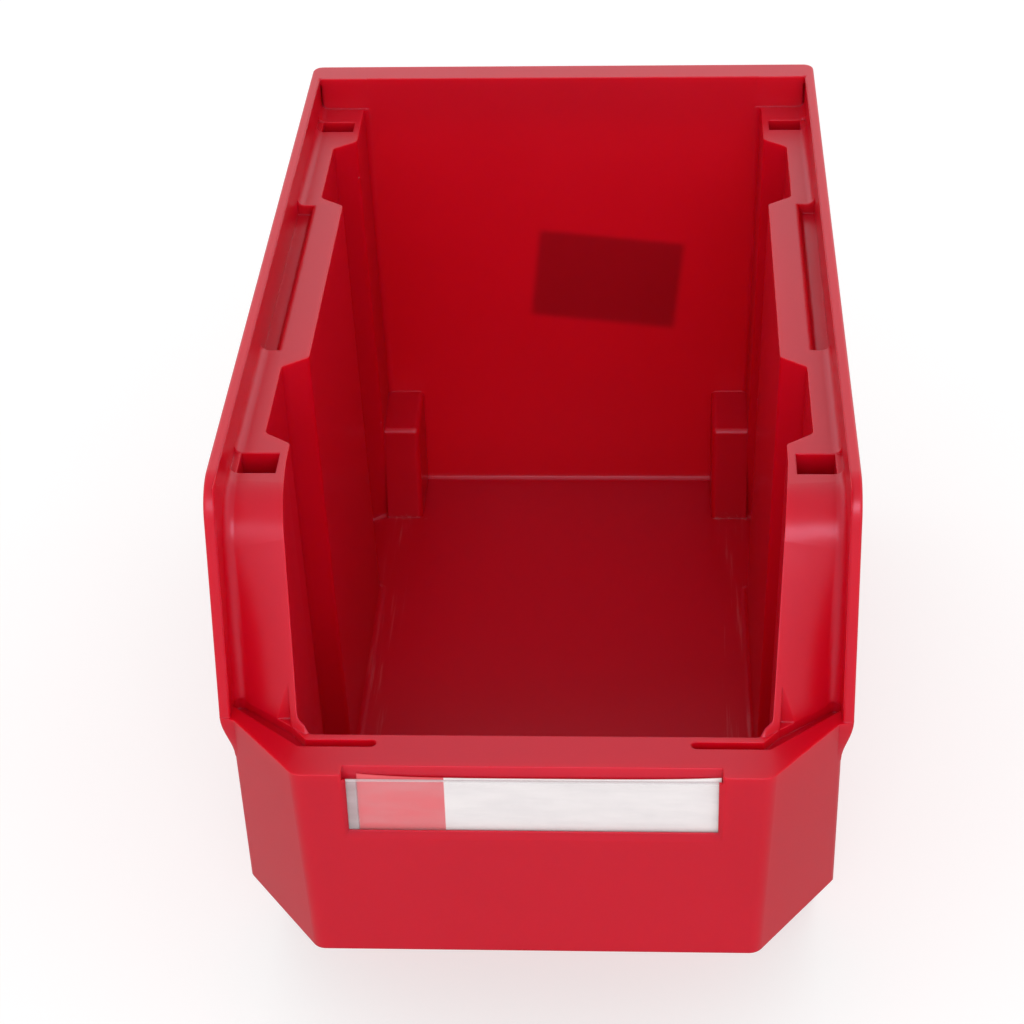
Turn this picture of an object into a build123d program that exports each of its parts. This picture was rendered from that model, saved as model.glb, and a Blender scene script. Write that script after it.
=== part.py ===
from build123d import *
import math
import os

os.makedirs("parts", exist_ok=True)

# Open-front stackable storage bin, size class 350/300 x 200 x 200 mm.
# Frame: origin under the middle of the bounding box, +Y to the back wall,
# -Y to the open front, +X to the right when looking in from the front, +Z up.

# ---- driving dimensions (mm) ----
length = 350.0
width = 200.0
height = 200.0
back_y = length / 2
front_y = -length / 2

# rim band: upright flange along both sides and the back
band = 3.6
band_x = width / 2
band_in = band_x - band
band_depth = 18.0
rim_corner_y = -135.8
rim_corner_r = 12.0
rim_rear_r = 4.0
rim_plate = 3.0
rim_edge_r = 0.9

# stacking ledge inside the rim band, and the front lip
ledge_z = height - 13.0
lip_z = 120.6
band_foot_y = -147.2
band_foot_drop = 17.0
band_foot_steps = 8
root_front = 1.5
channel_depth = 12.0
cove_r = 3.0
sill_r = 17.0
plate = 3.0

# inner tub
floor_z = 12.0
floor_t = 2.5
wall = 2.3
tub_x_top = 79.3
tub_x_floor = 75.2
tub_back_top = 163.0
tub_back_floor = 160.6
tub_front_lip = -155.0
tub_front_knee = -150.0
tub_front_floor = -112.0
knee_z = 48.0
nose_taper_y = -100.0
nose_taper = 3.4
nose_round = 4.0
bay_out = 8.7
bay_slant = 6.5
rear_bay = (77.5, 133.0)
front_bay = (-89.5, -34.5)
sill_y = -123.8
sill_foot_y = -154.8
sill_x = 72.0
tub_r = 2.5
floor_r = 2.5

# outer skin
skin = 2.2
skin_x_foot = 95.0
skin_x_knee = 96.9
skin_x_top = 96.6
skin_chamfer_lip = (73.5, -146.5)
skin_chamfer_foot = (70.5, -138.5)
skin_front_foot = -174.2
skin_r = 5.0
skirt_y = -92.0
skirt_front_y = -118.0
skirt_front_x = 70.0
skirt_z = 14.0

# post sockets in the ledge
socket_x = (81.8, 94.2)
socket_front = (-107.0, -95.0)
socket_rear = (141.5, 150.5)
socket_wall = 1.8
socket_z = 150.0

# drainage trench between the bays
trench_x = 90.4
trench_y = (-30.0, 78.0)
trench_drop = 4.0
trench_draft = 1.0
trench_r = (1.8, 1.2)

# groove behind the front lip
groove = 3.6
groove_depth = 3.4
groove_floor = 2.0
groove_end_x = 49.0
groove_crease_y = -140.7
groove_cove = 2.3

# label pocket, clear cover and card
pocket_x = 58.6
pocket_lip_x = 57.4
pocket_z = 96.6
pocket_lip_z = 98.0
pocket_back_y = front_y + 3.4
pocket_lip_t = 1.2
pocket_bevel = 2.0
pocket_bevel_low = 4.4
pocket_bevel_depth = 0.9
scoop_y = front_y + 4.9
scoop_z = 5.0
pocket_wall = 3.0
pocket_floor = 4.0
fit_gap = 0.3
cover_t = 0.8
cover_h = 20.4
cover_r = 1.0
card_t = 0.4
card_h = 21.3
card_x = (-54.2, 58.2)

# pads in the rear floor corners
pad_x = 61.5
pad_y = 129.5
pad_top = 56.0
pad_front_drop = 3.0
pad_lean = 5.0
pad_r = 2.2

# ribs
rib = 1.8
rib_foot = 1.0
cross_ribs = (-65.0, -10.0, 50.0, 105.0)
long_ribs = (-50.0, -17.0, 17.0, 50.0)

# adhesive label on the outside of the back wall
sticker_w = 58.0
sticker_h = 38.0
sticker_t = 0.2
sticker_x = 17.6
sticker_z = 109.7
sticker_tilt = 6.3
sticker_r = 1.5

# how far solids that are joined or cut run past each other
lap = 1.0
hair = 0.1


def between(z, z0, v0, z1, v1):
    """Value on the straight line from (z0, v0) to (z1, v1)."""
    return v0 + (v1 - v0) * (z - z0) / (z1 - z0)


def mirrored(half):
    """Closed outline from the points of its right half, back to front."""
    return half + [(-x, y) for x, y in reversed(half)]


def grown(points, d):
    """The outline moved outwards by d with mitred corners (clockwise outline)."""
    result = []
    for i, (x, y) in enumerate(points):
        before = Vector(x - points[i - 1][0], y - points[i - 1][1])
        following = points[(i + 1) % len(points)]
        after = Vector(following[0] - x, following[1] - y)
        n1 = Vector(-before.Y, before.X).normalized()
        n2 = Vector(-after.Y, after.X).normalized()
        miter = (n1 + n2) * (d / (1 + n1.dot(n2)))
        result.append((x + miter.X, y + miter.Y))
    return result


def tub_plan(z):
    """Inside outline of the tub at height z, with its two bays on each side."""
    x = between(z, floor_z, tub_x_floor, ledge_z, tub_x_top)
    back = between(z, floor_z, tub_back_floor, height, tub_back_top)
    if z > knee_z:
        front = between(z, knee_z, tub_front_knee, lip_z, tub_front_lip)
    else:
        front = between(z, floor_z, tub_front_floor, knee_z, tub_front_knee)
    half = [(x, back)]
    for y0, y1 in (rear_bay, front_bay):
        half += [(x, y1), (x + bay_out, y1 - bay_slant)]
        half += [(x + bay_out, y0 + bay_slant), (x, y0)]
    half += [(x, nose_taper_y), (x - nose_taper, front + nose_round)]
    half += [(x - nose_taper - nose_round, front)]
    return mirrored(half)


def skin_side(z):
    """Half width of the outer skin at height z."""
    if z > knee_z:
        return between(z, knee_z, skin_x_knee, ledge_z, skin_x_top)
    return between(z, 0, skin_x_foot, knee_z, skin_x_knee)


def skin_chamfer(z):
    """The two ends of the front corner's chamfer at height z, side end first."""
    z = min(max(z, knee_z), lip_z)
    chamfer_x = between(z, knee_z, skin_chamfer_foot[0], lip_z, skin_chamfer_lip[0])
    chamfer_y = between(z, knee_z, skin_chamfer_foot[1], lip_z, skin_chamfer_lip[1])
    front = between(z, knee_z, skin_front_foot, lip_z, front_y)
    return [(skin_side(z), chamfer_y), (chamfer_x, front)]


def skin_plan(z):
    """Outside outline of the outer skin at height z, with its chamfered front corners."""
    back = between(z, floor_z, tub_back_floor, height, tub_back_top) + wall
    side_end, front_end = skin_chamfer(z)
    side = skin_side(z)
    return mirrored([(side, back), (side, side_end[1]), front_end])


def cavity_plan(z):
    """Inside outline of the tub, drawn in near the floor to make the round floor edge."""
    rise = min(z - floor_z, floor_r)
    inset = floor_r - math.sqrt(floor_r**2 - (floor_r - rise) ** 2)
    return grown(tub_plan(z), -inset)


def lofted(outline, levels, radius, grow=0.0):
    """Ruled solid through the outline at each level, its upright edges rounded."""
    with BuildPart() as solid:
        for z in levels:
            with BuildSketch(Plane.XY.offset(z)) as section:
                Polygon(*grown(outline(z), grow), align=None)
                fillet(section.vertices(), radius)
        loft(ruled=True)
    return solid.part


def side_prism(points, x0, x1):
    """Solid with a side-view outline of (y, z) points, from x0 to x1."""
    with BuildPart() as solid:
        with BuildSketch(Plane.YZ.offset(x0)):
            Polygon(*points, align=None)
        extrude(amount=x1 - x0)
    return solid.part


def block(x, y, z):
    """Box between two x, two y and two z values."""
    with BuildPart() as solid:
        with BuildSketch(Plane.XY.offset(z[0])):
            with Locations(((x[0] + x[1]) / 2, (y[0] + y[1]) / 2)):
                Rectangle(x[1] - x[0], y[1] - y[0])
        extrude(amount=z[1] - z[0])
    return solid.part


def both_sides(shape):
    """The shape and its mirror image across the middle plane."""
    return [shape, mirror(shape, about=Plane.YZ, mode=Mode.PRIVATE)]


big = length
slope = (band_foot_y - rim_corner_y) / (lip_z - height)


def slope_y(z, behind=0.0):
    """Front edge of the rim band at height z, moved back by behind."""
    return rim_corner_y + (z - height) * slope + behind


wall_foot = between(ledge_z, floor_z, tub_back_floor, height, tub_back_top)
channel_top_y = slope_y(ledge_z, channel_depth)
channel_foot_y = slope_y(lip_z, channel_depth)


def sill_air(shift=0.0, cove=0.0):
    """Open space above the ledge and in front of the sill, moved back and down by shift.

    Its floor runs straight across the tub and twists out to the rim bands.
    """
    stations = [(sill_x, sill_y, sill_foot_y), (band_in, channel_top_y, channel_foot_y)]
    stations = [(-x, top, foot) for x, top, foot in reversed(stations)] + stations
    with BuildPart() as air:
        for x, top_y, foot_y in stations:
            with BuildSketch(Plane.YZ.offset(x)) as profile:
                Polygon(
                    (wall_foot, ledge_z - shift),
                    (top_y + shift, ledge_z - shift),
                    (foot_y + shift, lip_z - shift),
                    (-big, lip_z - shift),
                    (-big, 2 * height),
                    (wall_foot, 2 * height),
                    align=None,
                )
                sill = profile.vertices().sort_by_distance((top_y + shift, ledge_z - shift, 0))[0]
                fillet(sill, sill_r)
        loft(ruled=True)
        if cove:
            for end in (air.faces().sort_by(Axis.X)[0], air.faces().sort_by(Axis.X)[-1]):
                edges = end.edges().filter_by_position(Axis.Y, channel_foot_y - lap, wall_foot + lap)
                edges = edges.filter_by_position(Axis.Z, lip_z - lap, ledge_z + lap)
                fillet(edges, cove)
    return air.part


# ---- outer skin with the ledge, channel and lip plates ----
outer = lofted(skin_plan, (0, knee_z, lip_z, height), skin_r)
front_air = side_prism(
    [(slope_y(2 * height), 2 * height), (band_foot_y, lip_z), (-big, lip_z), (-big, 2 * height)],
    -big,
    big,
)
hollow = lofted(skin_plan, (-lap, knee_z, lip_z, ledge_z - plate), skin_r - skin, -skin) - sill_air(plate)
skirt_cut = side_prism(
    [(-big, knee_z), (skin_chamfer_foot[1], knee_z), (skirt_y, 0), (skirt_y, -lap), (-big, -lap)],
    -big,
    big,
)

# ---- tub ----
tub_outer = lofted(tub_plan, (floor_z - floor_t, knee_z, ledge_z), tub_r + wall, wall)
cove_levels = [floor_z + floor_r * (1 - math.cos(math.radians(t))) for t in (0, 30, 60, 90)]
cavity = lofted(cavity_plan, cove_levels + [knee_z, height + lap], tub_r)

# ---- base skirt, ribs and sockets ----
skirt_half = [(skin_x_foot, cross_ribs[0]), (skin_x_foot, skirt_y), (skirt_front_x, skirt_front_y)]
skirt_outline = mirrored(skirt_half)
with BuildPart() as base_skirt:
    with BuildSketch():
        Polygon(*skirt_outline, align=None)
        Polygon(*grown(skirt_outline, -skin), align=None, mode=Mode.SUBTRACT)
    extrude(amount=skirt_z)

inside_skin = skin_x_top - skin / 2
rib_space = lofted(skin_plan, (0, knee_z, lip_z, ledge_z - plate / 2), skin_r, -skin / 2)
rib_space -= sill_air(plate / 2)
with BuildPart() as ribs:
    for y in cross_ribs:
        add(block((-band_in, band_in), (y - rib / 2, y + rib / 2), (rib_foot, ledge_z)))
    for x in long_ribs:
        x_span = (x - rib / 2, x + rib / 2)
        add(block(x_span, (skirt_front_y + lap, tub_back_floor + lap), (rib_foot, floor_z - lap)))
        add(block(x_span, (front_y + skin - hair, tub_front_knee), (knee_z, lip_z - lap)))

socket_cuts = []
socket_walls = []
for y0, y1 in (socket_front, socket_rear):
    sleeve_x = (socket_x[0] - socket_wall, inside_skin)
    sleeve = block(sleeve_x, (y0 - socket_wall, y1 + socket_wall), (socket_z, ledge_z - lap))
    socket_walls += both_sides(sleeve)
    socket_cuts += both_sides(block(socket_x, (y0, y1), (socket_z - lap, height)))
    socket_cuts += both_sides(block((socket_x[0], band_in), (y0, y1), (ledge_z, ledge_z + cove_r + lap)))

trench_floor = block(
    (trench_x - lap, inside_skin),
    (trench_y[0] - wall, trench_y[1] + wall),
    (ledge_z - trench_drop - plate, ledge_z - lap),
)
trench_edge = (trench_x, ledge_z)
trench_root = (trench_x + trench_draft, ledge_z - trench_drop)
with BuildPart() as trench:
    with BuildSketch(Plane.XZ.offset(-trench_y[1])) as trench_profile:
        Polygon(
            (trench_x - 2 * trench_r[0], ledge_z + cove_r + lap),
            (trench_x - 2 * trench_r[0], ledge_z),
            trench_edge,
            trench_root,
            (band_in, ledge_z - trench_drop),
            (band_in, ledge_z + cove_r + lap),
            align=None,
        )
        for corner, radius in zip((trench_edge, trench_root), trench_r):
            fillet(trench_profile.vertices().sort_by_distance((*corner, 0))[0], radius)
    extrude(amount=trench_y[1] - trench_y[0])

# ---- pads in the rear floor corners, hollow from below ----
with BuildPart() as pad:
    add(
        side_prism(
            [
                (tub_back_floor + wall / 2, floor_z - lap),
                (pad_y, floor_z - lap),
                (pad_y + pad_lean, pad_top - pad_front_drop),
                (tub_back_floor + wall / 2, pad_top),
            ],
            pad_x,
            tub_x_floor + wall / 2,
        )
    )
    inner_edges = pad.faces().sort_by(Axis.X)[0].edges()
    pad_brow = (pad_x, pad_y + pad_lean, pad_top - pad_front_drop)
    top_front = pad.edges().filter_by(Axis.X).sort_by_distance(pad_brow)[0]
    fillet([inner_edges.sort_by(Axis.Y)[0], inner_edges.sort_by(Axis.Z)[-1], top_front], pad_r)
pad_core = block(
    (pad_x + wall, tub_x_floor - wall),
    (pad_y + pad_lean + wall, tub_back_floor - wall),
    (-lap, pad_top - pad_front_drop - wall),
)

# ---- groove between the tub and the front lip ----
nose_x = between(lip_z, floor_z, tub_x_floor, ledge_z, tub_x_top) - nose_taper
tub_face_y = tub_front_lip - wall
groove_rear = (band_in + hair, channel_foot_y)
groove_outline = [
    (band_in + hair, groove_crease_y),
    (skin_chamfer_lip[0], tub_face_y - groove),
    (groove_end_x, tub_face_y - groove),
    (groove_end_x, tub_face_y),
    (nose_x - nose_round + wall / 2, tub_face_y),
    (nose_x + wall - hair, between(nose_x + wall, sill_x, sill_foot_y, band_in, channel_foot_y)),
    groove_rear,
]
with BuildPart() as groove_cut:
    with BuildSketch(Plane.XY.offset(lip_z - groove_depth)) as groove_plan:
        Polygon(*groove_outline, align=None)
        fillet(groove_plan.vertices().sort_by(Axis.X)[:2], groove / 2 - hair)
        fillet(groove_plan.vertices().sort_by_distance((*groove_rear, 0))[0], groove_cove)
    extrude(amount=groove_depth + lap)
with BuildPart() as groove_tray:
    with BuildSketch(Plane.XY.offset(lip_z - groove_depth - groove_floor)):
        Polygon(*grown(groove_outline, groove_floor), align=None)
    extrude(amount=groove_depth + groove_floor - plate / 2)

# ---- rim band ----
corner = (rim_corner_y, height)
with BuildPart() as rim:
    for x in (-band_x, band_in):
        with BuildSketch(Plane.YZ.offset(x)) as profile:
            Polygon(
                (back_y, height),
                corner,
                (band_foot_y, lip_z),
                (slope_y(lip_z, band_depth), lip_z),
                (slope_y(height - band_depth, band_depth), height - band_depth),
                (back_y, height - band_depth),
                align=None,
            )
            fillet(profile.vertices().sort_by_distance((*corner, 0))[0], rim_corner_r)
        extrude(amount=band)
    add(block((-band_x, band_x), (back_y - band, back_y), (height - band_depth, height)))
    add(block((-band_in, band_in), (tub_back_top, back_y), (height - rim_plate, height)))
    rear_corners = rim.edges().filter_by(Axis.Z).group_by(Axis.Y)[-1]
    fillet(rear_corners, rim_rear_r)
    fillet(rim.faces().sort_by(Axis.Z)[-1].edges(), rim_edge_r)
band_root = side_prism(
    [
        (wall_foot, ledge_z + cove_r + lap),
        (slope_y(ledge_z + cove_r + lap, root_front), ledge_z + cove_r + lap),
        (slope_y(lip_z, root_front), lip_z),
        (slope_y(lip_z, band_depth), lip_z),
        (slope_y(height - band_depth, band_depth), height - band_depth),
        (wall_foot, height - band_depth),
    ],
    skin_x_foot,
    band_in + hair,
)
foot_back = slope_y(lip_z, band_depth)
with BuildPart() as band_foot:
    for step in range(band_foot_steps + 1):
        z = lip_z - band_foot_drop * step / band_foot_steps
        flare = (1 + math.cos(math.pi * step / band_foot_steps)) / 2
        side_end, front_end = skin_chamfer(z)
        chamfer_run = (Vector(*front_end) - Vector(*side_end)).normalized() * skin_r / 2
        foot_x = between(flare, 0, side_end[0] - hair / 2, 1, band_x)
        foot_front = between(flare, 0, side_end[1], 1, band_foot_y)
        foot_corner = (foot_x, foot_front)
        with BuildSketch(Plane.XY.offset(z)) as foot_section:
            Polygon(
                (band_in + hair / 2, foot_back),
                (foot_x, foot_back),
                foot_corner,
                (side_end[0] + chamfer_run.X, side_end[1] + chamfer_run.Y + hair / 2),
                (band_in + hair / 2, side_end[1] + skin_r / 2),
                align=None,
            )
            fillet(foot_section.vertices().sort_by_distance((*foot_corner, 0))[0], rim_edge_r)
    loft(ruled=True)

# ---- label pocket in the front face ----
pocket_block = block(
    (-pocket_x - pocket_wall, pocket_x + pocket_wall),
    (front_y + skin / 2, scoop_y + wall),
    (pocket_z - pocket_floor, lip_z),
)
slot = block((-pocket_x, pocket_x), (front_y + pocket_lip_t, pocket_back_y), (pocket_z, height))
window = block((-pocket_lip_x, pocket_lip_x), (front_y - lap, front_y + pocket_lip_t), (pocket_lip_z, height))
with BuildPart() as bevel:
    for depth, spread, drop in ((0, pocket_bevel, pocket_bevel_low), (pocket_bevel_depth, 0, 0)):
        low = pocket_lip_z - drop
        with BuildSketch(Plane.XZ.offset(-front_y - depth)):
            with Locations((0, (height + low) / 2)):
                Rectangle(2 * (pocket_lip_x + spread), height - low)
    loft(ruled=True)
scoop = side_prism(
    [
        (pocket_back_y, lip_z - scoop_z),
        (scoop_y, lip_z + hair),
        (front_y - lap, lip_z + hair),
        (front_y - lap, lip_z - scoop_z / 2),
        (pocket_back_y, lip_z - scoop_z / 2),
    ],
    -pocket_x,
    pocket_x,
)

# ---- the bin body, one moulding ----
with BuildPart() as bin_body:
    add(outer)
    for piece in both_sides(band_root):
        add(piece)
    add(front_air, mode=Mode.SUBTRACT)
    add(sill_air(cove=cove_r), mode=Mode.SUBTRACT)
    add(hollow, mode=Mode.SUBTRACT)
    add(skirt_cut, mode=Mode.SUBTRACT)
    add(base_skirt.part)
    add(tub_outer - sill_air())
    add(ribs.part & rib_space)
    for piece in both_sides(groove_tray.part & rib_space):
        add(piece)
    add(cavity, mode=Mode.SUBTRACT)
    for piece in socket_walls + both_sides(trench_floor):
        add(piece)
    add(pocket_block)
    for cut in both_sides(groove_cut.part):
        add(cut, mode=Mode.SUBTRACT)
    for piece in [rim.part] + both_sides(band_foot.part) + both_sides(pad.part):
        add(piece)
    for cut in socket_cuts + both_sides(trench.part) + both_sides(pad_core):
        add(cut, mode=Mode.SUBTRACT)
    for cut in (slot, window, bevel.part, scoop):
        add(cut, mode=Mode.SUBTRACT)
bin_body.part.label = "bin_body"
export_step(bin_body.part, "parts/bin_body.step")

# ---- clear cover and card, standing in the pocket ----
cover_y = front_y + pocket_lip_t + fit_gap
card_y = cover_y + cover_t + fit_gap
with BuildPart() as label_cover:
    with BuildSketch(Plane.XZ.offset(-cover_y)):
        with Locations((0, pocket_z + fit_gap + cover_h / 2)):
            RectangleRounded(2 * (pocket_x - fit_gap), cover_h, cover_r)
    extrude(amount=-cover_t)
label_cover.part.label = "label_cover"
export_step(label_cover.part, "parts/label_cover.step")

with BuildPart() as label_card:
    with BuildSketch(Plane.XZ.offset(-card_y)):
        with Locations((sum(card_x) / 2, pocket_z + fit_gap + card_h / 2)):
            Rectangle(card_x[1] - card_x[0], card_h)
    extrude(amount=-card_t)
label_card.part.label = "label_card"
export_step(label_card.part, "parts/label_card.step")

# ---- adhesive label on the outside of the back wall ----
lean = math.degrees(math.atan2(tub_back_top - tub_back_floor, height - floor_z))
sticker_y = between(sticker_z, floor_z, tub_back_floor, height, tub_back_top) + wall
sticker_plane = Plane((sticker_x, sticker_y, sticker_z), x_dir=(-1, 0, 0), z_dir=(0, 1, 0))
sticker_plane = sticker_plane.rotated((-lean, 0, 0))
with BuildPart() as rear_sticker:
    with BuildSketch(sticker_plane):
        RectangleRounded(sticker_w, sticker_h, sticker_r, rotation=sticker_tilt)
    extrude(amount=sticker_t)
rear_sticker.part.label = "rear_sticker"
export_step(rear_sticker.part, "parts/rear_sticker.step")
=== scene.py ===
import math

import bmesh
import bpy
from mathutils import Matrix, Vector


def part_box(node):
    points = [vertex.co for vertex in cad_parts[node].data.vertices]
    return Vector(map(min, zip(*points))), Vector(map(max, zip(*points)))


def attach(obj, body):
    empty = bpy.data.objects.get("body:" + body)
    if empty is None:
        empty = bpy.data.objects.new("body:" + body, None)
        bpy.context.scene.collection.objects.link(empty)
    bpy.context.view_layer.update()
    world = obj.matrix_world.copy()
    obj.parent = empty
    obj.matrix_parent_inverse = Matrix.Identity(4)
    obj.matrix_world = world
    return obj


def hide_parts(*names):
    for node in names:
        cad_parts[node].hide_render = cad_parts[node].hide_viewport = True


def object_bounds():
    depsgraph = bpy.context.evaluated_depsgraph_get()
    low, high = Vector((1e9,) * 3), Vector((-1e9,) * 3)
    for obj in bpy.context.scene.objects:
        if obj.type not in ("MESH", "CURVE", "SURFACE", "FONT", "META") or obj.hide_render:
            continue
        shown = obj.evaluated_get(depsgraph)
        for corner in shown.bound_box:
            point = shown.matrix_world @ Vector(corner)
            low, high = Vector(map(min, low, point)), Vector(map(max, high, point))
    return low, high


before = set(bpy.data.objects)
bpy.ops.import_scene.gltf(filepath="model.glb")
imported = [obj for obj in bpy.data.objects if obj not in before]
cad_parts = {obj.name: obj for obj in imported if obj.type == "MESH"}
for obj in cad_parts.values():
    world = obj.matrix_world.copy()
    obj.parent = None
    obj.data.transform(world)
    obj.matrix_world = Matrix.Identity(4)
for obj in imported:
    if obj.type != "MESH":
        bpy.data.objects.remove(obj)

cad_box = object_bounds()
MM = 0.001

# ---- camera, at the product shot's angle ----
CAMERA_PLACE = (37.4 * MM, -789.2 * MM, 626.9 * MM)
CAMERA_TURN = math.radians(3.60)
CAMERA_TILT = math.radians(56.39)
CAMERA_ROLL = math.radians(-1.83)
CAMERA_LENS = 91.2
CAMERA_SHIFT = -0.0064
CAMERA_SENSOR = 36.0
CAMERA_NEAR = 10 * MM

# ---- places on the bin; a pair is the range that a mark covers or fades over ----
FLOOR_Z = 12 * MM
FLOOR_EDGE = (66 * MM, 73 * MM)
PAD_FOOT_Y = (128.2 * MM, 129.6 * MM)
PAD_FOOT_X = (60 * MM, 76 * MM)
EDGE_BLUR = 3 * MM
FOOT_BLUR = (0.3 * MM, 1 * MM)
EDGE_RISE = (4 * MM, 1 * MM)
FOOT_RISE = (1.5 * MM, 0.5 * MM)
WALL_FACE = (6 * MM, 5 * MM)
SKIRT_SIDE = (95 * MM, 93 * MM)
SKIRT_ENDS = (-116 * MM, 160 * MM)
SKIRT_NOSE = (192 * MM, 184 * MM)
SKIRT_BLUR = 2 * MM
LABEL_TILT = math.radians(6.3)
LABEL_HALF = (27.9 * MM, 17.6 * MM)
SHADE_BLUR = 4 * MM
CARD_DIP = 0.8 * MM
CARD_LEAN = 1.0 * MM
CARD_BLOCK = 0.24
CARD_COLUMNS = 48
CARD_ROWS = 8
CARD_RIGHT_BOW = 0.6
PRINT_EDGE = 0.1 * MM
BARE_EDGE = 0.4 * MM
CUT_EDGE = (0.5 * MM, 0.1 * MM)
EDGE_ROUND = 0.7 * MM

# ---- sizes and strengths of the surface detail ----
CLOUD = 70 * MM
GRAIN = 0.9 * MM
GRAIN_DEPTH = 0.012 * MM
GRAIN_BUMP = 0.5
GRAIN_SHARE = 0.3
STRAND = 1.1 * MM
STRAND_STRETCH = (1, 0.03, 1)
STRAND_CUT = (0.56, 0.70)
# size and cut of the noise that breaks the painted highlight along the pad feet into short lines
FOOT_HIGHLIGHT_BREAKUP = 2 * MM
FOOT_HIGHLIGHT_BREAKUP_CUT = (0.50, 0.62)
# strength of the lighter colour over the floor-edge scratches and the painted highlight along the pad
# feet
SCRATCH_AND_HIGHLIGHT_SHARE = 0.16
DUST_CELL = 13 * MM
DUST_SHARE = 0.026
DUST_CUT = (0.54, 0.58)
DUST_STRENGTH = 0.7
PATCH = 20 * MM
FIBRE = 0.9 * MM
FIBRE_DEPTH = 0.03 * MM
CARD_BUMP = 0.3
PAPER_BUMP = 0.5
WIPE = 4 * MM
WIPE_STRETCH = (0.2, 1, 1)
WIPE_DEPTH = 0.02 * MM
WIPE_BUMP = 0.3
WIPE_SPAN = (0.4, 0.7)
NOISE_SPAN = (0.3, 0.7)
FLOOR_CLOUD = 0.4

# ---- gloss and depth of the materials ----
PLASTIC_IOR = 1.49
RED_GLOSS = 0.58
RED_ROUGH = 0.285
CLOUD_ROUGH = 0.06
WEAR_ROUGH = 0.2
RED_DEPTH_SHARE = 0.8
RED_DEPTH_RADIUS = (1.0, 0.10, 0.12)
RED_DEPTH_SCALE = 6 * MM
CLEAR_ROUGH = (0.05, 0.12)
CARD_ROUGH = (0.45, 0.6)
PAPER_ROUGH = (0.6, 0.8)
FLOOR_ROUGH = 0.7
CLEAR_FILM = (0.06, 0.12)
CLEAR_BARE = 0.30
CLEAR_RIM = 0.5

# ---- light: brightness of the studio wall, ceiling and floor, and the soft light in front ----
WALL_LIGHT = 1.08
WALL_TOP = 0.25
CEILING_LIGHT = 0.72
FLOOR_WHITE = 0.55
FLOOR_SHADE = (0.56, 0.56, 0.56)
FLOOR_SIZE = 3.0
SOFTBOX_PLACE = (0.1, -1.5, 0.85)
SOFTBOX_AIM = (0.0, 0.0, 0.1)
SOFTBOX_SIZE = (0.9, 0.7)
SOFTBOX_POWER = 8.5

# ---- colours, linear ----
RED = (0.60, 0.0004, 0.010)
RED_DEEP = (0.51, 0.0002, 0.007)
RED_PALE = (0.62, 0.0024, 0.022)
GLOSS_TINT = (1.0, 0.72, 0.98, 1.0)
LABEL_SHADE = (0.32, 0.0002, 0.004)
SHADE_DEPTH = 0.75
# lighter colour of the floor-edge scratches, also used for the painted highlight along the rear pads'
# feet
SCRATCH_AND_HIGHLIGHT = (0.80, 0.30, 0.32)
DUST = (0.85, 0.70, 0.70)
WHITE_CARD = (0.92, 0.87, 0.87)
CARD_DIM = 0.94
CARD_RED = (0.74, 0.10, 0.12)
CARD_RED_LIFT = 1.15
CLEAR_TINTS = ((0.62, 0.60, 0.62), (0.75, 0.73, 0.75))
PAPER_TINTS = ((0.74, 0.72, 0.69), (0.80, 0.79, 0.77))
FLOOR_TINTS = ((0.48, 0.48, 0.48), (0.50, 0.50, 0.50))


def mix_colour(nodes, links, factor, low, high):
    """Colour between low and high by factor; low and high are colours or sockets."""
    node = nodes.new("ShaderNodeMix")
    node.data_type = "RGBA"
    links.new(factor, node.inputs["Factor"])
    for name, value in (("A", low), ("B", high)):
        socket = next(s for s in node.inputs if s.name == name and s.type == "RGBA")
        if isinstance(value, tuple):
            socket.default_value = (*value, 1.0)
        else:
            links.new(value, socket)
    return next(s for s in node.outputs if s.type == "RGBA")


def calc(nodes, links, operation, a, b=0.0, clamp=False):
    """One Math node; a and b are numbers or sockets."""
    node = nodes.new("ShaderNodeMath")
    node.operation = operation
    node.use_clamp = clamp
    for socket, value in zip(node.inputs, (a, b)):
        if isinstance(value, (int, float)):
            socket.default_value = value
        else:
            links.new(value, socket)
    return node.outputs[0]


def ramp(nodes, links, value, low, high, to_low=0.0, to_high=1.0):
    """value taken from the range low..high to to_low..to_high, clamped."""
    node = nodes.new("ShaderNodeMapRange")
    node.interpolation_type = "SMOOTHSTEP"
    node.inputs["From Min"].default_value = low
    node.inputs["From Max"].default_value = high
    node.inputs["To Min"].default_value = to_low
    node.inputs["To Max"].default_value = to_high
    links.new(value, node.inputs["Value"])
    return node.outputs["Result"]


def noise(nodes, links, place, size, detail=3.0, stretch=(1, 1, 1)):
    """Noise value whose features are about size metres across."""
    mapping = nodes.new("ShaderNodeMapping")
    mapping.inputs["Scale"].default_value = stretch
    links.new(place, mapping.inputs["Vector"])
    node = nodes.new("ShaderNodeTexNoise")
    node.inputs["Scale"].default_value = 1 / size
    node.inputs["Detail"].default_value = detail
    links.new(mapping.outputs["Vector"], node.inputs["Vector"])
    return node.outputs["Fac"]


def specks(nodes, links, place, size, share):
    """Mask of small round specks on a grid of cells of the given size."""
    node = nodes.new("ShaderNodeTexVoronoi")
    node.inputs["Scale"].default_value = 1 / size
    links.new(place, node.inputs["Vector"])
    return ramp(nodes, links, node.outputs["Distance"], share, share * 0.6)


def new_material(name):
    """New material; returns it with its nodes, links, Principled shader and object position."""
    material = bpy.data.materials.new(name)
    material.use_nodes = True
    nodes, links = material.node_tree.nodes, material.node_tree.links
    shader = nodes["Principled BSDF"]
    place = nodes.new("ShaderNodeTexCoord").outputs["Object"]
    return material, nodes, links, shader, place


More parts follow.
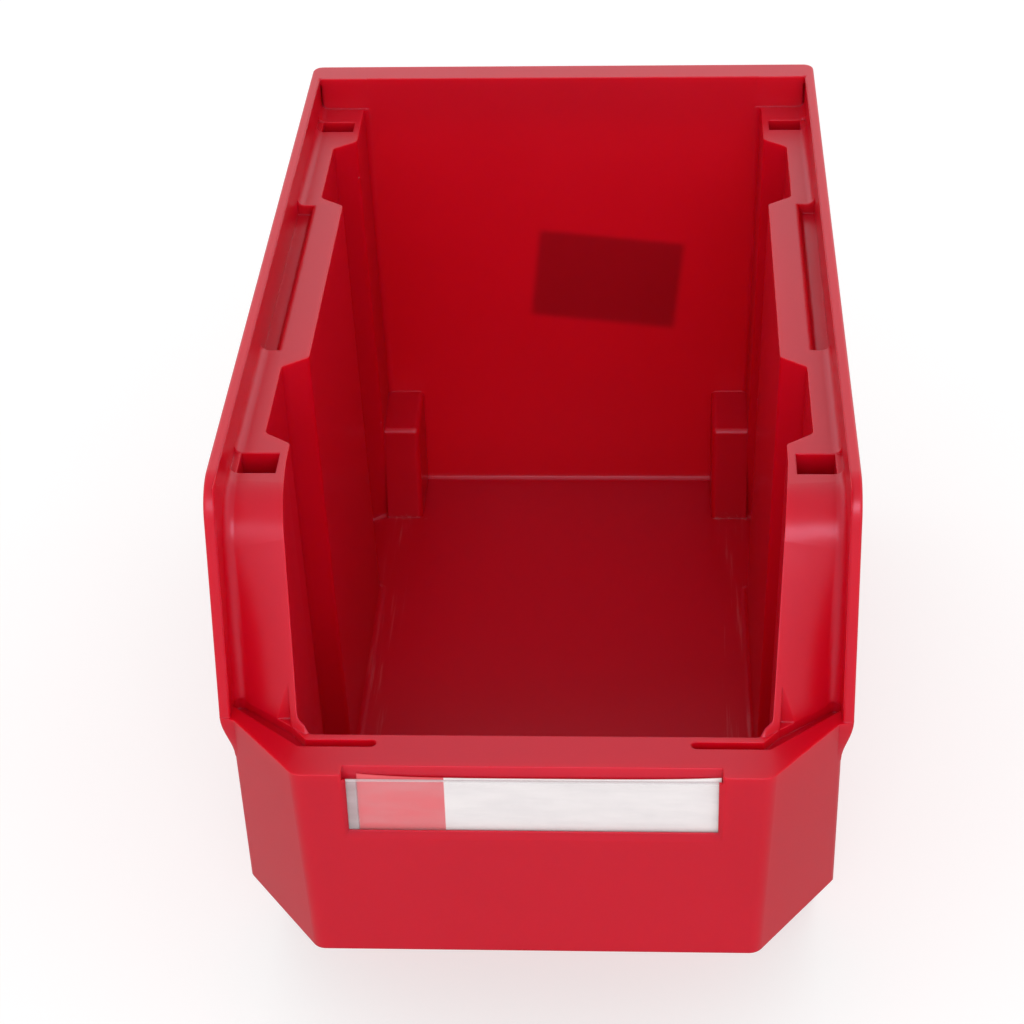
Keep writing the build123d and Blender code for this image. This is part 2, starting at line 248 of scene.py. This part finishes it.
def bumped(nodes, links, shader, heights, edge_round=0.0):
    """Chain of bump nodes from (height socket, distance in metres, strength), over softened edges."""
    normal = None
    if edge_round:
        soft_edge = nodes.new("ShaderNodeBevel")
        soft_edge.inputs["Radius"].default_value = edge_round
        normal = soft_edge.outputs["Normal"]
    for height, distance, strength in heights:
        bump = nodes.new("ShaderNodeBump")
        bump.inputs["Distance"].default_value = distance
        bump.inputs["Strength"].default_value = strength
        links.new(height, bump.inputs["Height"])
        if normal is not None:
            links.new(normal, bump.inputs["Normal"])
        normal = bump.outputs["Normal"]
    links.new(normal, shader.inputs["Normal"])


def window(nodes, links, value, low, high, soft):
    """1 where value lies between low and high, fading to 0 over soft outside."""
    rise = ramp(nodes, links, value, low - soft, low)
    fall = ramp(nodes, links, value, high + soft, high)
    return calc(nodes, links, "MULTIPLY", rise, fall)


def product(nodes, links, *values):
    """All the values multiplied together."""
    result = values[0]
    for value in values[1:]:
        result = calc(nodes, links, "MULTIPLY", result, value)
    return result


def label_shadow(nodes, links, place):
    """Mask on the back wall where the label outside it keeps the light from shining through."""
    low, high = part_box("rear_sticker")
    middle = (low + high) / 2
    turned = nodes.new("ShaderNodeVectorRotate")
    turned.rotation_type = "Y_AXIS"
    turned.inputs["Center"].default_value = middle
    turned.inputs["Angle"].default_value = -LABEL_TILT
    links.new(place, turned.inputs["Vector"])
    axes = nodes.new("ShaderNodeSeparateXYZ")
    links.new(turned.outputs[0], axes.inputs[0])
    half_x, half_z = LABEL_HALF
    across = window(nodes, links, axes.outputs["X"], middle.x - half_x, middle.x + half_x, SHADE_BLUR)
    upright = window(nodes, links, axes.outputs["Z"], middle.z - half_z, middle.z + half_z, SHADE_BLUR)
    wall = ramp(nodes, links, axes.outputs["Y"], low.y - WALL_FACE[0], low.y - WALL_FACE[1])
    return product(nodes, links, across, upright, wall)


def scratches_and_foot_highlight(nodes, links, place, axes):
    """Mask of fine scratches along the floor's long edges and of a painted highlight, broken into short
    lines, along the feet of the rear pads.
    """
    strands = noise(nodes, links, place, STRAND, 3.0, STRAND_STRETCH)
    strands = ramp(nodes, links, strands, *STRAND_CUT)
    side = calc(nodes, links, "ABSOLUTE", axes.outputs["X"])
    low = ramp(nodes, links, axes.outputs["Z"], FLOOR_Z + EDGE_RISE[0], FLOOR_Z + EDGE_RISE[1])
    edge = product(nodes, links, strands, window(nodes, links, side, *FLOOR_EDGE, EDGE_BLUR), low)
    # the lines along the pad feet are a painted highlight, broken up by this noise
    foot_highlight_breakup = ramp(nodes, links, noise(nodes, links, place, FOOT_HIGHLIGHT_BREAKUP, 3.0), *FOOT_HIGHLIGHT_BREAKUP_CUT)
    foot = window(nodes, links, axes.outputs["Y"], *PAD_FOOT_Y, FOOT_BLUR[0])
    pad = window(nodes, links, side, *PAD_FOOT_X, FOOT_BLUR[1])
    ground = ramp(nodes, links, axes.outputs["Z"], FLOOR_Z + FOOT_RISE[0], FLOOR_Z + FOOT_RISE[1])
    foot = product(nodes, links, foot_highlight_breakup, foot, pad, ground)
    return calc(nodes, links, "ADD", edge, foot, clamp=True)


def red_plastic():
    """Moulded red polypropylene: satin, a little translucent, with flow marks, scratches, dust, a
    painted highlight along the rear pads' feet and a painted shadow behind the rear label.
    """
    material, nodes, links, shader, place = new_material("moulded_red")
    axes = nodes.new("ShaderNodeSeparateXYZ")
    links.new(place, axes.inputs[0])
    cloudy = noise(nodes, links, place, CLOUD, 3.0)
    grain = noise(nodes, links, place, GRAIN, 2.0)
    colour = mix_colour(nodes, links, cloudy, RED_DEEP, RED)
    colour = mix_colour(nodes, links, product(nodes, links, grain, GRAIN_SHARE), colour, RED_PALE)
    shade = product(nodes, links, label_shadow(nodes, links, place), SHADE_DEPTH)
    colour = mix_colour(nodes, links, shade, colour, LABEL_SHADE)
    scratches_and_highlight = scratches_and_foot_highlight(nodes, links, place, axes)
    # lighter colour over the floor-edge scratches and a painted highlight along the rear pads' feet
    colour = mix_colour(nodes, links, product(nodes, links, scratches_and_highlight, SCRATCH_AND_HIGHLIGHT_SHARE), colour, SCRATCH_AND_HIGHLIGHT)
    dust = specks(nodes, links, place, DUST_CELL, DUST_SHARE)
    sparse = ramp(nodes, links, noise(nodes, links, place, PATCH), *DUST_CUT)
    dust = product(nodes, links, dust, sparse, DUST_STRENGTH)
    colour = mix_colour(nodes, links, dust, colour, DUST)
    links.new(colour, shader.inputs["Base Color"])
    satin = calc(nodes, links, "ADD", product(nodes, links, cloudy, CLOUD_ROUGH), RED_ROUGH)
    rough = calc(nodes, links, "ADD", satin, product(nodes, links, scratches_and_highlight, WEAR_ROUGH))
    links.new(rough, shader.inputs["Roughness"])
    shader.inputs["IOR"].default_value = PLASTIC_IOR
    shader.inputs["Specular IOR Level"].default_value = RED_GLOSS
    shader.inputs["Specular Tint"].default_value = GLOSS_TINT
    shader.inputs["Subsurface Weight"].default_value = RED_DEPTH_SHARE
    shader.inputs["Subsurface Radius"].default_value = RED_DEPTH_RADIUS
    shader.inputs["Subsurface Scale"].default_value = RED_DEPTH_SCALE
    bumped(nodes, links, shader, [(grain, GRAIN_DEPTH, GRAIN_BUMP)], EDGE_ROUND)
    return material


def clear_plastic():
    """Clear polished strip, whiter at its cut edges and its empty left end, with faint wipe marks."""
    material, nodes, links, shader, place = new_material("clear_strip")
    low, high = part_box("label_cover")
    axes = nodes.new("ShaderNodeSeparateXYZ")
    links.new(place, axes.inputs[0])
    wipes = noise(nodes, links, place, WIPE, 4.0, WIPE_STRETCH)
    tint = mix_colour(nodes, links, wipes, *CLEAR_TINTS)
    links.new(tint, shader.inputs["Base Color"])
    links.new(ramp(nodes, links, wipes, *WIPE_SPAN, *CLEAR_ROUGH), shader.inputs["Roughness"])
    card_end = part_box("label_card")[0].x
    bare = (card_end + BARE_EDGE, card_end - BARE_EDGE)
    bare_end = ramp(nodes, links, axes.outputs["X"], *bare, 0.0, CLEAR_BARE)
    top = (high.z - CUT_EDGE[0], high.z - CUT_EDGE[1])
    foot = (low.z + CUT_EDGE[0], low.z + CUT_EDGE[1])
    top_edge = ramp(nodes, links, axes.outputs["Z"], *top, 0, CLEAR_RIM)
    low_edge = ramp(nodes, links, axes.outputs["Z"], *foot, 0, CLEAR_RIM)
    rim = calc(nodes, links, "ADD", top_edge, low_edge)
    film = ramp(nodes, links, wipes, *NOISE_SPAN, *CLEAR_FILM)
    alpha = calc(nodes, links, "ADD", calc(nodes, links, "ADD", bare_end, rim), film, clamp=True)
    links.new(alpha, shader.inputs["Alpha"])
    shader.inputs["IOR"].default_value = PLASTIC_IOR
    bumped(nodes, links, shader, [(wipes, WIPE_DEPTH, WIPE_BUMP)])
    return material


def printed_card(x_low, x_high):
    """White card with a plain red block at its left end and paper fibre."""
    material, nodes, links, shader, place = new_material("printed_card")
    fibre = noise(nodes, links, place, FIBRE, 4.0)
    soft = noise(nodes, links, place, PATCH, 2.0)
    white = mix_colour(nodes, links, soft, tuple(CARD_DIM * c for c in WHITE_CARD), WHITE_CARD)
    red = mix_colour(nodes, links, fibre, CARD_RED, tuple(min(1, CARD_RED_LIFT * c) for c in CARD_RED))
    split = nodes.new("ShaderNodeSeparateXYZ")
    links.new(place, split.inputs[0])
    edge = x_low + CARD_BLOCK * (x_high - x_low)
    block = ramp(nodes, links, split.outputs["X"], edge + PRINT_EDGE, edge - PRINT_EDGE)
    links.new(mix_colour(nodes, links, block, white, red), shader.inputs["Base Color"])
    links.new(ramp(nodes, links, fibre, *NOISE_SPAN, *CARD_ROUGH), shader.inputs["Roughness"])
    bumped(nodes, links, shader, [(fibre, FIBRE_DEPTH, CARD_BUMP)])
    return material


def paper_label():
    """Blank adhesive paper."""
    material, nodes, links, shader, place = new_material("paper_label")
    fibre = noise(nodes, links, place, FIBRE, 5.0)
    stain = noise(nodes, links, place, PATCH, 3.0)
    colour = mix_colour(nodes, links, stain, *PAPER_TINTS)
    links.new(colour, shader.inputs["Base Color"])
    links.new(ramp(nodes, links, fibre, *NOISE_SPAN, *PAPER_ROUGH), shader.inputs["Roughness"])
    bumped(nodes, links, shader, [(fibre, FIBRE_DEPTH, PAPER_BUMP)])
    return material


def under_bin(nodes, links, place):
    """Mask of the floor inside the bin's base skirt, where no studio light reaches."""
    axes = nodes.new("ShaderNodeSeparateXYZ")
    links.new(place, axes.inputs[0])
    side = calc(nodes, links, "ABSOLUTE", axes.outputs["X"])
    nose = calc(nodes, links, "SUBTRACT", side, axes.outputs["Y"])
    within = ramp(nodes, links, side, *SKIRT_SIDE)
    length = window(nodes, links, axes.outputs["Y"], *SKIRT_ENDS, SKIRT_BLUR)
    return product(nodes, links, within, length, ramp(nodes, links, nose, *SKIRT_NOSE))


def pale_floor():
    """Pale studio floor: near white where it is seen, greyer in its bounce, dark under the bin."""
    material, nodes, links, shader, place = new_material("pale_floor")
    cloud = noise(nodes, links, place, FLOOR_CLOUD, 2.0)
    pale = mix_colour(nodes, links, cloud, *FLOOR_TINTS)
    links.new(pale, shader.inputs["Base Color"])
    shader.inputs["Roughness"].default_value = FLOOR_ROUGH
    shader.inputs["Emission Color"].default_value = (1, 1, 1, 1)
    glow = ramp(nodes, links, under_bin(nodes, links, place), 0.0, 1.0, FLOOR_WHITE, 0.0)
    links.new(glow, shader.inputs["Emission Strength"])
    bounce = nodes.new("ShaderNodeBsdfDiffuse")
    bounce.inputs["Color"].default_value = (*FLOOR_SHADE, 1)
    seen = nodes.new("ShaderNodeMixShader")
    links.new(nodes.new("ShaderNodeLightPath").outputs["Is Camera Ray"], seen.inputs[0])
    links.new(bounce.outputs[0], seen.inputs[1])
    links.new(shader.outputs[0], seen.inputs[2])
    links.new(seen.outputs[0], nodes["Material Output"].inputs["Surface"])
    return material


def bowed_card():
    """The card as a bowed sheet: its top corners lean back into the scoop."""
    low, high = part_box("label_card")
    columns, rows = CARD_COLUMNS, CARD_ROWS
    bm = bmesh.new()
    sides = []
    for y in (low.y, high.y):
        grid = []
        for i in range(columns + 1):
            u = 2 * i / columns - 1
            bow = u ** 4 * (1.0 if u < 0 else CARD_RIGHT_BOW)
            column = []
            for j in range(rows + 1):
                v = j / rows
                top = high.z - CARD_DIP * (1 - bow)
                lean = CARD_LEAN * bow * v ** 3
                x = low.x + (high.x - low.x) * i / columns
                column.append(bm.verts.new((x, y + lean, low.z + (top - low.z) * v)))
            grid.append(column)
        sides.append(grid)
    front, back = sides
    for i in range(columns):
        for j in range(rows):
            bm.faces.new((front[i][j], front[i + 1][j], front[i + 1][j + 1], front[i][j + 1]))
            bm.faces.new((back[i][j + 1], back[i + 1][j + 1], back[i + 1][j], back[i][j]))
        bm.faces.new((front[i][rows], front[i + 1][rows], back[i + 1][rows], back[i][rows]))
        bm.faces.new((back[i][0], back[i + 1][0], front[i + 1][0], front[i][0]))
    for j in range(rows):
        bm.faces.new((front[0][j + 1], back[0][j + 1], back[0][j], front[0][j]))
        bm.faces.new((back[columns][j + 1], front[columns][j + 1], front[columns][j], back[columns][j]))
    mesh = bpy.data.meshes.new("card_sheet")
    bm.to_mesh(mesh)
    bm.free()
    card = bpy.data.objects.new("card_sheet", mesh)
    bpy.context.scene.collection.objects.link(card)
    mesh.materials.append(printed_card(low.x, high.x))
    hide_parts("label_card")
    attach(card, "label_card")


def dress(node, material):
    """Gives a CAD node one material."""
    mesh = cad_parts[node].data
    mesh.materials.clear()
    mesh.materials.append(material)


def add_camera():
    """The camera of the product shot."""
    data = bpy.data.cameras.new("photo_camera")
    data.lens = CAMERA_LENS
    data.sensor_width = CAMERA_SENSOR
    data.shift_x = CAMERA_SHIFT
    data.clip_start = CAMERA_NEAR
    camera = bpy.data.objects.new("photo_camera", data)
    turn = Matrix.Rotation(CAMERA_TURN, 4, "Z") @ Matrix.Rotation(CAMERA_TILT, 4, "X")
    turn = turn @ Matrix.Rotation(CAMERA_ROLL, 4, "Z")
    camera.matrix_world = Matrix.Translation(CAMERA_PLACE) @ turn
    bpy.context.scene.collection.objects.link(camera)
    bpy.context.scene.camera = camera


def add_softbox(name, place, target, size, power):
    """Square soft light at place, aimed at target; size in metres, power in watts."""
    data = bpy.data.lights.new(name, "AREA")
    data.shape = "RECTANGLE"
    data.size, data.size_y = size
    data.energy = power
    light = bpy.data.objects.new(name, data)
    aim = Vector(target) - Vector(place)
    light.matrix_world = Matrix.Translation(place) @ aim.to_track_quat("-Z", "Y").to_matrix().to_4x4()
    bpy.context.scene.collection.objects.link(light)


def add_stage():
    """White studio: walls brighter than the ceiling, and a staged floor under the bin."""
    world = bpy.data.worlds.new("studio")
    world.use_nodes = True
    nodes, links = world.node_tree.nodes, world.node_tree.links
    nodes["Background"].inputs["Color"].default_value = (1, 1, 1, 1)
    direction = nodes.new("ShaderNodeSeparateXYZ")
    links.new(nodes.new("ShaderNodeTexCoord").outputs["Generated"], direction.inputs[0])
    strength = ramp(nodes, links, direction.outputs["Z"], WALL_TOP, 1.0, WALL_LIGHT, CEILING_LIGHT)
    links.new(strength, nodes["Background"].inputs["Strength"])
    bpy.context.scene.world = world
    bm = bmesh.new()
    bmesh.ops.create_grid(bm, x_segments=8, y_segments=8, size=FLOOR_SIZE)
    mesh = bpy.data.meshes.new("studio_floor")
    bm.to_mesh(mesh)
    bm.free()
    floor = bpy.data.objects.new("studio_floor", mesh)
    floor.location.z = cad_box[0].z
    bpy.context.scene.collection.objects.link(floor)
    mesh.materials.append(pale_floor())


bpy.context.scene.view_settings.view_transform = "Standard"
add_camera()
add_stage()
add_softbox("front_softbox", SOFTBOX_PLACE, SOFTBOX_AIM, SOFTBOX_SIZE, SOFTBOX_POWER)

dress("bin_body", red_plastic())
dress("label_cover", clear_plastic())
bowed_card()
dress("rear_sticker", paper_label())
